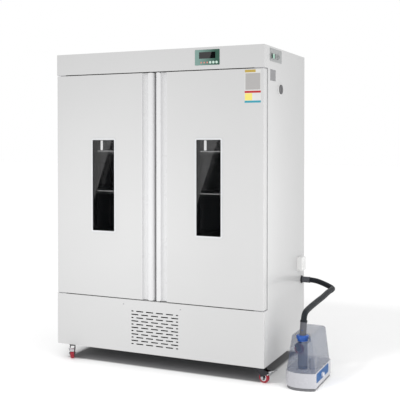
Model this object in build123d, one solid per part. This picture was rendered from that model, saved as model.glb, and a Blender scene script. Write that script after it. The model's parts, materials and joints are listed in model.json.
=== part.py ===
"""Two-door humidity incubator on castors, with the floor-standing humidifier that feeds it through a hose.

Millimetres. While it is modelled, X runs right from the cabinet's centre line, Y runs back from the door
faces and Z runs up from the floor. The written parts are moved so that the origin is below the middle of
the cabinet and humidifier together.
"""
import os
from math import cos, pi, radians, sin, tan

from build123d import *

# Cabinet
cab_w = 1400.0
cab_d = 780.0
cab_h = 1930.0
body_z = 90.0
sheet = 1.5
flange = 18.0
corner_r = 4.0
fascia_h = 130.0
plinth_h = 322.0
fit = 0.3

# Doors
door_t = 57.0
liner_t = 7.0
seal_t = 5.0
door_gap = 6.0
centre_gap = 10.0
side_inset = 3.0
liner_inset = 2.0
window_w = 156.0
window_h = 564.0
window_out = 5.0
window_up = 2.0
window_border = 10.0
window_proud = 2.5
window_wall = 4.0
window_corner = 5.0
glass_t = 5.0
glass_depth = 3.0
gasket_w = 14.0
gasket_side = 18.0
gasket_end = 8.0
gasket_centre = 4.0

# Handle profile on the meeting edge of each door
handle_w = 81.0
ridge_w = 39.0
ridge_proud = 2.0
ridge_end_r = 12.0
ridge_end_depth = 10.0
nose_r = 23.0
ridge_edge_r = 6.0
groove_w = 40.0
groove_depth = 18.0
profile_bore_r = 15.0
profile_wall = 7.0
cap_t = 3.0

# Hinges
pivot_inset = 12.0
pivot_depth = 30.0
pin_r = 5.0
pin_fit = 0.05
pin_len = 22.0
bracket_t = 3.0
bracket_l = 60.0
bracket_w = 44.0

# Chamber
side_wall = 60.0
back_wall = 32.0
sill_h = 28.0
head_h = 30.0
roof_foam = 65.0
floor_foam = 61.5
post_w = 60.0
post_d = 20.0
frame_t = 2.0
frame_lip = 4.0
duct_gap = 108.0
duct_side_gap = 10.0
duct_end_gap = 4.0
duct_t = 2.0
outlet_slots = 8
outlet_slot_l = 46.0
outlet_slot_h = 12.0
return_rows = 6
return_w = 360.0
return_h = 8.0
return_pitch = 18.0
return_up = 50.0
shelf_front_gap = 22.0
shelf_back_gap = 36.0
shelf_lip = 20.0
shelf_t = 1.5
shelf_shares = (0.0737, 0.2632, 0.4752, 0.6647)
shelf_slot_w = 24.0
shelf_rail = 60.0
shelf_slots = 6
standard_w = 20.0
standard_t = 10.0
standard_in = 50.0
clip_t = 4.0
clip_l = 14.0

# Machinery
fan_r = 70.0
fan_hub_r = 24.0
fan_t = 26.0
fan_down = 130.0
fan_shaft_r = 5.0
fan_shaft_l = 16.0
fan_blades = 7
blade_twist = 32.0
blade_t = 2.0
blade_chord = 28.0
condenser_fan_r = 85.0
fan_back = 18.0
motor_r = 26.0
motor_l = 34.0
strut_w = 28.0
strut_t = 3.0
coil_w = 500.0
coil_h = 260.0
coil_up = 180.0
coil_fins = 14
coil_tube_r = 6.0
coil_fin_t = 2.0
coil_air_gap = 15.0
compressor_r = 85.0
compressor_h = 190.0
compressor_x = 330.0
compressor_y = 480.0
foot_h = 12.0
foot_r = 11.0
foot_inset = 14.0
foot_plate_t = 5.0
condenser_w = 320.0
condenser_h = 210.0
condenser_d = 44.0
condenser_x = 0.0
condenser_y = 110.0
condenser_fins = 16

tube_w = 60.0
tube_h = 40.0
crossbar_x = 220.0
gusset_w = 120.0
gusset_t = 6.0
floor_t = 2.0

# Cooling vents in the back
vent_w = 80.0
vent_h = 8.0
vent_columns = 3
vent_rows = 5
vent_pitch_x = 120.0
vent_pitch_z = 30.0
vent_in = 180.0
vent_up = 100.0

# Front grille
grille_rows = 11
grille_pitch_x = 67.5
grille_pitch_z = 20.0
slot_l = 49.0
slot_h = 7.0
grille_up = 153.5
short_slot = 15.5

# Controls
bezel_w = 156.0
bezel_h = 90.0
bezel_in = 8.0
bezel_up = 5.0
bezel_proud = 1.5
bezel_t = 6.0
bezel_lip = 4.0
screen_w = 104.0
screen_h = 38.0
screen_up = 12.0
screen_step = 3.0
key_r = 7.5
key_pitch = 20.0
key_x = 40.2
key_down = 30.0
key_proud = 3.0
key_flange = 1.5
key_flange_t = 2.0
lamp_r = 5.0
lamp_t = 2.0
lamp_x = -19.0
lamp_pitch = 19.0
lamp_edge_r = 1.2
board_gap = 6.0
board_t = 3.0
board_inset = 5.0
board_post_r = 3.0
board_post_inset = 9.0
board_post_zs = (-8.0, 33.0)

# Right wall fittings
plate_y = 198.5
plate_down = 48.0
plate_w = 207.0
plate_h = 74.0
plate_t = 2.0
rocker_fore = 61.5
rocker_down = 7.0
rocker_w = 50.0
rocker_h = 26.0
rocker_fit = 0.4
rocker_tilt = 6.0
rocker_frame = 4.0
rocker_pivot_up = 1.2
rocker_frame_t = 3.0
rocker_floor = 0.5
rocker_heel = 6.0
rocker_pin_r = 1.2
rocker_pin_out = 1.6
round_offsets = (-10.5, 29.5)
round_down = 6.0
round_r = 14.0
round_proud = 9.0
port_y = 281.0
port_down = 240.0
port_r = 30.0
port_bore_r = 25.0
port_fit = 0.1
port_flange_r = 34.0
plug_len = 55.0
plug_head = 6.0
plug_grip_w = 6.0
plug_grip_l = 36.0
box_back = 112.0
box_up = 184.0
box_s = 86.0
box_t = 33.0
pin_hole_l = 10.0
pin_hole_w = 2.6
pin_hole_depth = 8.0
inlet_back = 56.0
inlet_up = 44.0
inlet_r = 25.0
inlet_t = 6.0

# Castors
castor_inset_left = 85.0
castor_inset_right = 45.0
castor_y = 48.0
castor_back = 60.0
castor_trail = 36.0
castor_angles = {"front_left": -62.0, "front_right": -18.0, "rear_left": 20.0, "rear_right": -10.0}
wheel_r = 31.5
wheel_w = 24.0
wheel_hub_r = 20.0
wheel_bore_r = 5.0
boss_r = 10.0
dish = 3.0
axle_fit = 0.05
axle_head_r = 8.0
castor_plate = 64.0
castor_plate_t = 3.0
castor_head_r = 24.0
castor_head_h = 9.0
kingpin_r = 6.0
fork_t = 2.5
fork_gap = 1.5
brake_x = 72.0
brake_z = 65.0
brake_barrel_r = 5.0
brake_arm = 7.0
brake_pin_r = 2.5
cam_l = 16.5
cam_w = 5.0
cam_angle = 248.0
pedal_w = 34.0
pedal_t = 3.0
pedal_tip = 116.0
pedal_top = 86.0
brake_hole_r = 5.0

# Humidifier
hum_gap = 125.0
hum_w = 177.0
hum_y = -31.0
hum_d = 375.0
hum_bulge = 50.0
hum_corner = 32.0
hum_foot_h = 17.0
hum_foot_inset = 4.0
hum_base_h = 98.0
tank_h = 200.0
tank_inset = 2.0
tank_taper = 7.0
tank_corner = 48.0
tank_wall = 2.5
tank_edge_r = 18.0
chimney_in = 87.0
chimney_behind = 83.0
chimney_r = 28.0
chimney_wall = 2.0
chimney_h = 164.0
upstand_w = 8.0
upstand_h = 8.0
collar_r = 36.0
collar_h = 20.0
collar_edge = 3.0
recess_r = 42.0
spigot_r = 30.0
spigot_h = 12.0
float_box = (28.0, 36.0, 65.0)
float_in = (36.0, 30.0)
water_cap_r = 26.0
water_cap_h = 29.0
water_cap_in = (20.0, 150.0)
panel_l = 251.0
panel_h = 52.0
panel_back = 46.0
panel_up = 40.0
panel_corner = 12.0
panel_depth = 2.0
panel_proud = 0.5
knob_back = 159.0
knob_z = 62.0
knob_r = 13.0
knob_h = 12.0
knob_shaft_r = 3.0

# Hose
hose_r = 17.0
cuff_r = 19.0
cuff_bore_fit = 0.2
cuff_l = 52.0
lower_cuff_l = 80.0
lower_cuff_tilt = 14.0
pipe_r = 13.0
pipe_wall = 2.0
pipe_grip = 28.0
hose_lead = 34.0
hose_rise = 18.0
# Each bend: how far right of the nozzle, share of the way forward to it, and how far below the inlet
hose_bends = ((-56, 0.009, 18), (10, 0.036, 38), (24, 0.103, 37), (18, 0.241, 38), (12, 0.414, 44),
              (6, 0.604, 52), (2, 0.762, 60), (0, 0.869, 67))
# The last bends before the lower cuff: how far behind and above the nozzle's collar
nozzle_bends = ((52, 118), (35, 108.5))

# Where things meet, worked out from the sizes above
half_w = cab_w / 2
body_y = door_t + seal_t
fascia_z = cab_h - fascia_h
plinth_z = body_z + plinth_h
door_z0 = plinth_z + door_gap
door_z1 = fascia_z - door_gap
door_x0 = centre_gap / 2
door_x1 = half_w - side_inset
window_x = (door_x0 + door_x1) / 2 + window_out
window_z = (door_z0 + door_z1) / 2 + window_up
shell_t = door_t - liner_t
handle_x1 = door_x0 + handle_w
pivot_x = door_x1 - pivot_inset
chamber_half = half_w - side_wall
chamber_back = cab_d - back_wall
chamber_z0 = plinth_z + sill_h
chamber_z1 = fascia_z - head_h
insulation_top = chamber_z1 + roof_foam
insulation_base = chamber_z0 - floor_foam
duct_y = chamber_back - duct_gap
duct_z0 = chamber_z0 + duct_end_gap
duct_z1 = chamber_z1 - duct_end_gap
shelf_y = body_y + shelf_front_gap
shelf_y1 = duct_y - shelf_back_gap
shelf_levels = [chamber_z0 + share * (chamber_z1 - chamber_z0) for share in shelf_shares]
standard_ys = (shelf_y + standard_in, shelf_y1 - standard_in)
fan_z = chamber_z1 - fan_down
coil_z = chamber_z0 + coil_up
inside_x = half_w - sheet
inside_back = cab_d - sheet
floor_z = body_z + tube_h + floor_t
grille_z = body_z + grille_up
bezel_x = window_x - bezel_in
bezel_z = cab_h - fascia_h / 2 + bezel_up
plate_z = cab_h - plate_down
rocker_y = plate_y - rocker_fore
rocker_z = plate_z - rocker_down
round_z = plate_z - round_down
port_z = cab_h - port_down
box_y = cab_d - box_back
box_z = plinth_z + box_up
inlet_y = cab_d - inlet_back
inlet_z = chamber_z0 + inlet_up
castor_back_y = cab_d - castor_back
hum_x = half_w + hum_gap
hum_x1 = hum_x + hum_w
hum_y1 = hum_y + hum_d
tank_z0 = hum_base_h + fit
tank_z = tank_z0 + tank_h
chimney_x = hum_x + chimney_in
chimney_y = hum_y + chimney_behind
chimney_z = hum_base_h + chimney_h
panel_y = hum_y + panel_back + panel_l / 2
panel_z = panel_up + panel_h / 2
knob_y = hum_y + knob_back
inlet_face = half_w + inlet_t
knob_tip = hum_x1 + panel_proud + knob_h
origin_x = (knob_tip - half_w) / 2
pedal_turn = radians(castor_angles["front_left"])
pedal_y = castor_y + pedal_tip * sin(pedal_turn) - pedal_w / 2 * cos(pedal_turn)
origin_y = (cab_d + min(hum_y, pedal_y)) / 2
collar_z = chimney_z + spigot_h
head_top = body_z - castor_plate_t - fit
leg_y = wheel_w / 2 + fork_gap
braked = ("front_left", "front_right")
rocker_pivot_x = half_w + plate_t + rocker_pivot_up
cuff_base_z = collar_z + collar_h


def block(x0, x1, y0, y1, z0, z1):
    """A box between two corners."""
    size = Box(x1 - x0, y1 - y0, z1 - z0)
    return Pos((x0 + x1) / 2, (y0 + y1) / 2, (z0 + z1) / 2) * size


def rod(centre, radius, length, axis="Z"):
    """A cylinder that starts at centre and runs along the positive axis."""
    turn = {"X": Rot(0, 90, 0), "Y": Rot(-90, 0, 0), "Z": Rot(0, 0, 0)}[axis]
    start = Cylinder(radius, length, align=(Align.CENTER, Align.CENTER, Align.MIN))
    return Pos(*centre) * turn * start


def front_plate(x, z, width, height, corner, y0, y1):
    """A rounded rectangle seen from the front, from depth y0 to y1."""
    outline = Plane.XZ * RectangleRounded(width, height, corner)
    return Pos(x, y1, z) * extrude(outline, y1 - y0)


def side_plate(y, z, width, height, corner, x0, x1):
    """A rounded rectangle seen from the right, from x0 to x1."""
    outline = Plane.YZ * RectangleRounded(width, height, corner)
    return Pos(x0, y, z) * extrude(outline, x1 - x0)


def mirrored(shape, side):
    """The shape as drawn for the right (+1), or its mirror image for the left (-1)."""
    return shape if side > 0 else mirror(shape, Plane.YZ)


def side_panel(side):
    """A folded sheet wall with a flange along each edge."""
    tray = block(half_w - flange, half_w, body_y, cab_d, body_z, cab_h - sheet)
    tray -= block(half_w - flange - 1, inside_x, body_y + sheet, inside_back, body_z + sheet,
                  cab_h - 2 * sheet)
    if side > 0:
        tray -= rod((half_w - flange, port_y, port_z), port_r + fit, 2 * flange, "X")
        tray -= rod((half_w - flange, inlet_y, inlet_z), pipe_r + fit, 2 * flange, "X")
    return mirrored(tray, side)


def top_panel():
    """The lid, with a lip turned down inside the walls."""
    lid = block(-half_w, half_w, body_y, cab_d, cab_h - sheet, cab_h)
    lip_x = half_w - flange - fit
    lip_z = cab_h - sheet - flange
    lid += block(-lip_x, lip_x, body_y, body_y + sheet, lip_z, cab_h - sheet)
    return lid + block(-lip_x, lip_x, inside_back - sheet, inside_back, lip_z, cab_h - sheet)


def rear_panel():
    """The back sheet, with rows of cooling slots over the machine space."""
    edge = half_w - flange - fit
    back = block(-edge, edge, inside_back, cab_d, body_z + sheet, cab_h - sheet - fit)
    slots = []
    for row in range(vent_rows):
        z = body_z + vent_up + row * vent_pitch_z
        for column in range(vent_columns):
            x = vent_in + column * vent_pitch_x
            slot = block(x - vent_w / 2, x + vent_w / 2, inside_back - 1, cab_d + 1, z, z + vent_h)
            slots += [slot, mirrored(slot, -1)]
    return back - Compound(slots)


def folded_front(z0, z1):
    """A full-width front cover, folded back to the body along all four edges."""
    outer = block(-half_w, half_w, 0, body_y, z0, z1)
    outer = fillet(outer.edges().filter_by(Axis.Z).group_by(Axis.Y)[0], corner_r)
    return outer - block(-inside_x, inside_x, sheet, body_y + 1, z0 + sheet, z1 - sheet)


def top_fascia():
    """The control strip, cut out for the bezel."""
    hole = block(bezel_x - bezel_w / 2 + bezel_lip, bezel_x + bezel_w / 2 - bezel_lip, -1, 2 * sheet,
                 bezel_z - bezel_h / 2 + bezel_lip, bezel_z + bezel_h / 2 - bezel_lip)
    return folded_front(fascia_z, cab_h) - hole


def grille_slots():
    """Staggered slots: rows of five long ones between rows of four long and two short ones."""
    slots = []
    end = 2 * grille_pitch_x + slot_l / 2
    for row in range(grille_rows):
        z = grille_z + (row - (grille_rows - 1) / 2) * grille_pitch_z
        count = 4 if row % 2 == 0 else 5
        places = [((i - (count - 1) / 2) * grille_pitch_x, slot_l) for i in range(count)]
        if count == 4:
            places += [(side * (end - short_slot / 2), short_slot) for side in (-1, 1)]
        for x, length in places:
            slot = Plane.XZ * SlotOverall(length, slot_h)
            slots.append(Pos(x, 2 * sheet, z) * extrude(slot, 4 * sheet))
    return slots


def plinth_panel():
    """The machine-space cover with its air grille."""
    return folded_front(body_z, plinth_z) - Compound(grille_slots())


def base_frame():
    """Rectangular steel tube frame with corner gussets and the machine floor."""
    edge = half_w - flange - fit
    y0, y1 = body_y + sheet + fit, inside_back - sheet - fit
    top = body_z + tube_h
    ring = block(-edge, edge, y0, y1, body_z, top)
    ring -= block(-edge + tube_w, edge - tube_w, y0 + tube_w, y1 - tube_w, body_z - 1, top + 1)
    for x in (-crossbar_x, crossbar_x):
        ring += block(x - tube_w / 2, x + tube_w / 2, y0 + 1, y1 - 1, body_z, top)
    for side in (-1, 1):
        for y in (y0, y1 - gusset_w):
            gusset = block(edge - gusset_w, edge, y, y + gusset_w, body_z, body_z + gusset_t)
            ring += mirrored(gusset, side)
    return ring + block(-edge, edge, y0, y1, top, floor_z)


def chamber_liner():
    """Stainless box, open at the front, with the shelf standards that are riveted inside it."""
    outer = block(-chamber_half - sheet, chamber_half + sheet, body_y + frame_t, chamber_back + sheet,
                  chamber_z0 - sheet, chamber_z1 + sheet)
    liner = outer - block(-chamber_half, chamber_half, body_y, chamber_back, chamber_z0, chamber_z1)
    liner -= rod((chamber_half - 1, port_y, port_z), port_r + fit, 10, "X")
    liner -= rod((chamber_half - 1, inlet_y, inlet_z), pipe_r + fit, 10, "X")
    solids = [liner]
    for y in standard_ys:
        for side in (-1, 1):
            strip = block(chamber_half - standard_t, chamber_half, y - standard_w / 2, y + standard_w / 2,
                          chamber_z0, chamber_z1)
            for level in shelf_levels:
                z = level - shelf_lip
                strip += block(chamber_half - standard_t - clip_l, chamber_half - 1, y - standard_w / 2,
                               y + standard_w / 2, z - clip_t, z)
            solids.append(mirrored(strip, side))
        centre = block(-standard_t / 2, standard_t / 2, y - standard_w / 2, y + standard_w / 2,
                       chamber_z0, chamber_z1)
        for level in shelf_levels:
            z = level - shelf_lip
            centre += block(-standard_t / 2 - clip_l, standard_t / 2 + clip_l, y - standard_w / 2,
                            y + standard_w / 2, z - clip_t, z)
        solids.append(centre)
    return Compound(solids)


def insulation_boards():
    """Five foam slabs between the liner and the outer sheets."""
    x0 = chamber_half + sheet
    top = cab_h - 2 * sheet - flange - 1
    y0, y1 = body_y + frame_t, inside_back
    side = block(x0, inside_x, y0, y1, insulation_base, top)
    right = side - rod((x0 - 1, port_y, port_z), port_r + fit, side_wall, "X")
    right -= rod((x0 - 1, inlet_y, inlet_z), pipe_r + fit, side_wall, "X")
    back_y = chamber_back + sheet
    slabs = [
        right,
        mirrored(side, -1),
        block(-x0, x0, body_y + frame_t, y1, chamber_z1 + sheet, insulation_top),
        block(-x0, x0, body_y + frame_t, y1, insulation_base, chamber_z0 - sheet),
        block(-x0, x0, back_y, y1, chamber_z0 - sheet, chamber_z1 + sheet),
    ]
    return Compound(slabs)


def front_frame():
    """Four breaker strips round the chamber's mouth, and the post that both doors close on."""
    edge = half_w - flange - fit
    mouth_x = chamber_half - frame_lip
    mouth_z0, mouth_z1 = chamber_z0 + frame_lip, chamber_z1 - frame_lip
    y1 = body_y + frame_t
    strip = block(mouth_x, edge, body_y, y1, mouth_z0, mouth_z1)
    return Compound([
        block(-edge, edge, body_y, y1, plinth_z + fit, mouth_z0),
        block(-edge, edge, body_y, y1, mouth_z1, fascia_z - fit),
        strip,
        mirrored(strip, -1),
        block(-post_w / 2, post_w / 2, body_y, body_y + post_d, mouth_z0, mouth_z1),
    ])


def duct_panel():
    """False back with the fan outlet and the return slots, folded back to the liner at both sides."""
    x = chamber_half - duct_side_gap
    panel = block(-x, x, duct_y, chamber_back, duct_z0, duct_z1)
    panel -= block(-x + duct_t, x - duct_t, duct_y + duct_t, chamber_back + 1, duct_z0 - 1, duct_z1 + 1)
    for i in range(outlet_slots):
        slot = extrude(Plane.XZ * SlotOverall(outlet_slot_l, outlet_slot_h), duct_t + 2)
        turned = Rot(0, (i + 0.5) * 360 / outlet_slots, 0) * Pos(outlet_slot_l, 0, 0) * slot
        panel -= Pos(0, duct_y + duct_t + 1, fan_z) * turned
    for i in range(return_rows):
        z = duct_z0 + return_up + i * return_pitch
        slot = front_plate(x / 2, z, return_w, return_h, return_h * 0.48, duct_y - 1, duct_y + duct_t + 1)
        panel -= slot
        panel -= mirrored(slot, -1)
    return panel


def evaporator_coil():
    """Finned block on two end plates that stand on the liner's back, and the chamber fan's motor."""
    y0, y1 = duct_y + coil_air_gap, chamber_back - coil_air_gap
    pitch = coil_w / coil_fins
    coil = rod((-coil_w / 2, (y0 + y1) / 2, coil_z + 0.1 * coil_h), coil_tube_r, coil_w, "X")
    for share in (0.36, 0.62, 0.88):
        coil += rod((-coil_w / 2, (y0 + y1) / 2, coil_z + share * coil_h), coil_tube_r, coil_w, "X")
    for i in range(coil_fins + 1):
        x = -coil_w / 2 + i * pitch
        back = chamber_back if i in (0, coil_fins) else y1
        coil += block(x - coil_fin_t / 2, x + coil_fin_t / 2, y0, back, coil_z, coil_z + coil_h)
    motor_y = duct_y + fan_back + fan_t + fit
    motor = rod((0, motor_y, fan_z), motor_r, chamber_back - motor_y, "Y")
    motor -= rod((0, motor_y - 1, fan_z), fan_shaft_r + axle_fit, fan_shaft_l + 2, "Y")
    return Compound([coil, motor])


def shelf(side, level):
    """A folded tray with long air slots, resting on its clips."""
    x0 = standard_t / 2 + fit
    x1 = chamber_half - standard_t - fit
    z0, z1 = level - shelf_lip, level
    tray = block(x0, x1, shelf_y, shelf_y1, z0, z1)
    tray -= block(x0 + shelf_t, x1 - shelf_t, shelf_y + shelf_t, shelf_y1 - shelf_t, z0 - 1, z1 - shelf_t)
    pitch = (x1 - x0) / shelf_slots
    for i in range(shelf_slots):
        x = x0 + (i + 0.5) * pitch
        tray -= block(x - shelf_slot_w / 2, x + shelf_slot_w / 2, shelf_y + shelf_rail,
                      shelf_y1 - shelf_rail, z1 - 2 * shelf_t, z1 + 1)
    return mirrored(tray, side)


def hinge_brackets():
    """A plate and pin above and below the outer corner of each door."""
    solids = []
    y0, y1 = pivot_depth - bracket_w / 2, pivot_depth + bracket_w / 2
    for side in (-1, 1):
        top = block(door_x1 - bracket_l, door_x1, y0, y1, fascia_z - bracket_t, fascia_z)
        top += rod((pivot_x, pivot_depth, door_z1 - pin_len), pin_r, pin_len + door_gap - 1)
        low = block(door_x1 - bracket_l, door_x1, y0, y1, plinth_z, plinth_z + bracket_t)
        low += rod((pivot_x, pivot_depth, plinth_z + 1), pin_r, pin_len + door_gap - 1)
        low += rod((pivot_x, pivot_depth, plinth_z + 1), pin_r + 4, door_gap - 1 - fit)
        solids += [mirrored(top, side), mirrored(low, side)]
    return Compound(solids)


def handle_outline(inner):
    """Section of the meeting edge: rounded nose, crest, ridge edge and concave finger groove."""
    crest = -ridge_proud
    ridge_x = inner + ridge_w
    groove_x = ridge_x + groove_w
    outer = inner + handle_w
    lines = [
        Line((inner, shell_t), (inner, crest + nose_r)),
        TangentArc((inner, crest + nose_r), (inner + nose_r, crest), tangent=(0, -1)),
        Line((inner + nose_r, crest), (ridge_x - ridge_edge_r, crest)),
        TangentArc((ridge_x - ridge_edge_r, crest), (ridge_x, crest + ridge_edge_r), tangent=(1, 0)),
        ThreePointArc((ridge_x, crest + ridge_edge_r), ((ridge_x + groove_x) / 2, groove_depth),
                      (groove_x, 0)),
        Line((groove_x, 0), (outer, 0)),
        Line((outer, 0), (outer, shell_t)),
        Line((outer, shell_t), (inner, shell_t)),
    ]
    return make_face(lines)


def handle(side):
    """Full-height hollow profile with closed ends, its ridge rounded off at top and bottom."""
    height = door_z1 - door_z0
    profile = Pos(0, 0, door_z0) * extrude(handle_outline(door_x0), height)
    ridge_x = door_x0 + ridge_w
    hollow = height - 2 * cap_t
    nose = (door_x0 + nose_r, nose_r - ridge_proud, door_z0 + cap_t)
    profile -= rod(nose, profile_bore_r, hollow)
    profile -= block(ridge_x + ridge_edge_r, handle_x1 - profile_wall, groove_depth + profile_wall,
                     shell_t - profile_wall, door_z0 + cap_t, door_z1 - cap_t)
    y0, y1 = -ridge_proud - 1, ridge_end_depth
    r = ridge_end_r
    for z_end, up in ((door_z0, 1), (door_z1, -1)):
        z_in = z_end + up * r
        for x_end, inward in ((door_x0, 1), (ridge_x, -1)):
            x_in = x_end + inward * r
            corner = block(min(x_end, x_in), max(x_end, x_in), y0, y1, min(z_end, z_in),
                           max(z_end, z_in))
            profile -= corner - rod((x_in, y0 - 1, z_in), r, y1 - y0 + 2, "Y")
    return mirrored(profile, side)


def pin_holes():
    """Bores for the hinge pins in the top and bottom of the right door."""
    low = rod((pivot_x, pivot_depth, door_z0 - 1), pin_r + pin_fit, pin_len + 2)
    high = rod((pivot_x, pivot_depth, door_z1 - pin_len - 1), pin_r + pin_fit, pin_len + 2)
    return low, high


def window_cut(y0, y1):
    """The opening that the window frame fits."""
    wall = 2 * window_wall
    corner = window_corner + window_wall
    return front_plate(window_x, window_z, window_w + wall, window_h + wall, corner, y0, y1)


def door_shell(side):
    """Foam-filled outer pan, cut out for the window, with softened vertical edge."""
    shell = block(handle_x1, door_x1, 0, shell_t, door_z0, door_z1)
    outer_edge = shell.edges().filter_by(Axis.Z).group_by(Axis.Y)[0].sort_by(Axis.X)[-1]
    shell = fillet(outer_edge, corner_r)
    shell -= window_cut(-1, shell_t + 1)
    for hole in pin_holes():
        shell -= hole
    return mirrored(shell, side)


def door_liner(side):
    """Inner door skin behind both the shell and the handle profile."""
    liner = block(door_x0 + liner_inset, door_x1 - liner_inset, shell_t, door_t,
                  door_z0 + liner_inset, door_z1 - liner_inset)
    return mirrored(liner - window_cut(shell_t - 1, door_t + 1), side)


def door_gasket(side):
    """Magnetic seal in one loop on the back of the door."""
    x0, x1 = door_x0 + gasket_centre, door_x1 - gasket_side
    z0, z1 = door_z0 + gasket_end, door_z1 - gasket_end
    y0, y1 = door_t, body_y - fit
    ring = block(x0, x1, y0, y1, z0, z1)
    ring -= block(x0 + gasket_w, x1 - gasket_w, y0 - 1, y1 + 1, z0 + gasket_w, z1 - gasket_w)
    return mirrored(ring, side)


def window_frame(side):
    """Moulded surround with a thin border on the door face and a tube through the door."""
    tube = window_cut(0, door_t)
    border = front_plate(window_x, window_z, window_w + 2 * window_border, window_h + 2 * window_border,
                         window_corner + window_border, -window_proud, 0)
    front_edges = border.edges().group_by(Axis.Y)[0]
    border = chamfer(front_edges, 1.2)
    bore = front_plate(window_x, window_z, window_w, window_h, window_corner, -window_proud - 1, door_t + 1)
    return mirrored(border + tube - bore, side)


def window_glass(side):
    """Two panes, one near the door face and one near the door's back."""
    fronts = (glass_depth, door_t - glass_depth - glass_t)
    panes = [
        front_plate(window_x, window_z, window_w, window_h, window_corner, y, y + glass_t)
        for y in fronts
    ]
    return Compound([mirrored(pane, side) for pane in panes])


def controller_bezel():
    """Moulded surround with the screen recess and the key holes."""
    outline = front_plate(bezel_x, bezel_z, bezel_w, bezel_h, 3, -bezel_proud, 0)
    body = front_plate(bezel_x, bezel_z, bezel_w - 2 * bezel_lip - fit, bezel_h - 2 * bezel_lip - fit, 2,
                       0, bezel_t)
    bezel = outline + body
    bezel -= front_plate(bezel_x, bezel_z + screen_up, screen_w, screen_h, 2, -bezel_proud - 1,
                          bezel_t - screen_step)
    for i in range(3):
        bezel -= rod((bezel_x + key_x + (i - 1) * key_pitch, -bezel_proud - 1, bezel_z - key_down),
                     key_r + fit, bezel_t + 2 * bezel_proud, "Y")
        bezel -= rod((bezel_x + lamp_x + (i - 1) * lamp_pitch, -bezel_proud - 1, bezel_z - key_down),
                     lamp_r, bezel_proud + lamp_t + 1, "Y")
    return bezel


def display_screen():
    """Dark screen window and the three status lamps."""
    solids = [front_plate(bezel_x, bezel_z + screen_up, screen_w, screen_h, 2, 0, bezel_t - screen_step)]
    for i in range(3):
        lens = rod((bezel_x + lamp_x + (i - 1) * lamp_pitch, -bezel_proud, bezel_z - key_down), lamp_r,
                   bezel_proud + lamp_t, "Y")
        solids.append(fillet(lens.edges().group_by(Axis.Y)[0], lamp_edge_r))
    return Compound(solids)


def controller_board():
    """Carrier behind the bezel that the keys press against."""
    half = bezel_w / 2
    y0 = bezel_t + board_gap
    board = block(bezel_x - half + board_inset, bezel_x + half - board_inset, y0, y0 + board_t,
                  bezel_z - bezel_h / 2 + board_inset, bezel_z + bezel_h / 2 - board_inset)
    for dx in (board_post_inset - half, half - board_post_inset):
        for dz in board_post_zs:
            board += rod((bezel_x + dx, bezel_t, bezel_z + dz), board_post_r, board_gap + board_t / 2, "Y")
    return board


def key(index):
    """Round push key with a softened face, held behind the bezel by a flange."""
    x = bezel_x + key_x + (index - 2) * key_pitch
    z = bezel_z - key_down
    top = -bezel_proud - key_proud
    cap = rod((x, top, z), key_r, bezel_t + fit - top, "Y")
    cap = chamfer(cap.edges().group_by(Axis.Y)[0], 1.0)
    return cap + rod((x, bezel_t + fit, z), key_r + key_flange, key_flange_t, "Y")


def switch_plate():
    """Control plate on the right wall, with the rocker's frame and two round sockets."""
    plate = side_plate(plate_y, plate_z, plate_w, plate_h, 6, half_w, half_w + plate_t)
    frame_w = rocker_w + 2 * rocker_frame
    frame_h = rocker_h + 2 * rocker_frame
    frame = side_plate(rocker_y, rocker_z, frame_w, frame_h, 3, half_w, half_w + plate_t + rocker_frame_t)
    well = side_plate(rocker_y, rocker_z, rocker_w + 2 * rocker_fit, rocker_h + 2 * rocker_fit, 1,
                      half_w + rocker_floor, half_w + plate_t + rocker_frame_t + 1)
    pin_l = rocker_h + 2 * (rocker_fit + rocker_pin_out)
    pivot = rod((rocker_pivot_x, rocker_y, rocker_z - pin_l / 2), rocker_pin_r + axle_fit, pin_l)
    plate = plate + frame - well - pivot
    solids = [plate]
    for offset in round_offsets:
        y = plate_y + offset
        socket = rod((half_w + plate_t, y, round_z), round_r, round_proud, "X")
        socket = chamfer(socket.edges().group_by(Axis.X)[-1], 1.5)
        socket -= rod((half_w + plate_t + round_proud - 3, y, round_z), round_r - 5, 5, "X")
        solids.append(socket)
    return Compound(solids)


def rocker_switch():
    """Rocker with a shallow V face and two pivot pins, resting with its rear end pressed in."""
    face = rocker_frame_t - rocker_pivot_up
    half = rocker_w / 2
    rise = half * tan(radians(rocker_tilt))
    outline = Polyline((-rocker_pivot_up, -rocker_heel), (face - 1, -half), (face + rise, 1 - half),
                       (face, 0), (face + rise, half - 1), (face - 1, half), (-rocker_pivot_up, rocker_heel),
                       close=True)
    wedge = Pos(0, 0, -rocker_h / 2) * extrude(make_face(outline), rocker_h)
    pin_l = rocker_h + 2 * rocker_pin_out
    wedge += rod((0, 0, -pin_l / 2), rocker_pin_r, pin_l)
    return Pos(rocker_pivot_x, rocker_y, rocker_z) * Rot(0, 0, rocker_tilt) * wedge


def port_sleeve():
    """Tube through the right wall with a flange outside."""
    tube = rod((chamber_half - 3, port_y, port_z), port_r, half_w - chamber_half + 3, "X")
    tube += rod((half_w, port_y, port_z), port_flange_r, 3, "X")
    return tube - rod((chamber_half - 4, port_y, port_z), port_bore_r, 100, "X")


def port_plug():
    """Soft plug with a thicker head and a grip groove."""
    head_x = half_w + 3 + fit
    stem = rod((head_x - plug_len, port_y, port_z), port_bore_r - port_fit, plug_len, "X")
    head = rod((head_x, port_y, port_z), port_r - 1, plug_head, "X")
    head = fillet(head.edges().group_by(Axis.X)[-1], 2.5)
    head -= block(head_x + plug_head - 2, head_x + plug_head + 1, port_y - plug_grip_w / 2,
                  port_y + plug_grip_w / 2, port_z - plug_grip_l / 2, port_z + plug_grip_l / 2)
    return stem + head


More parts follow.
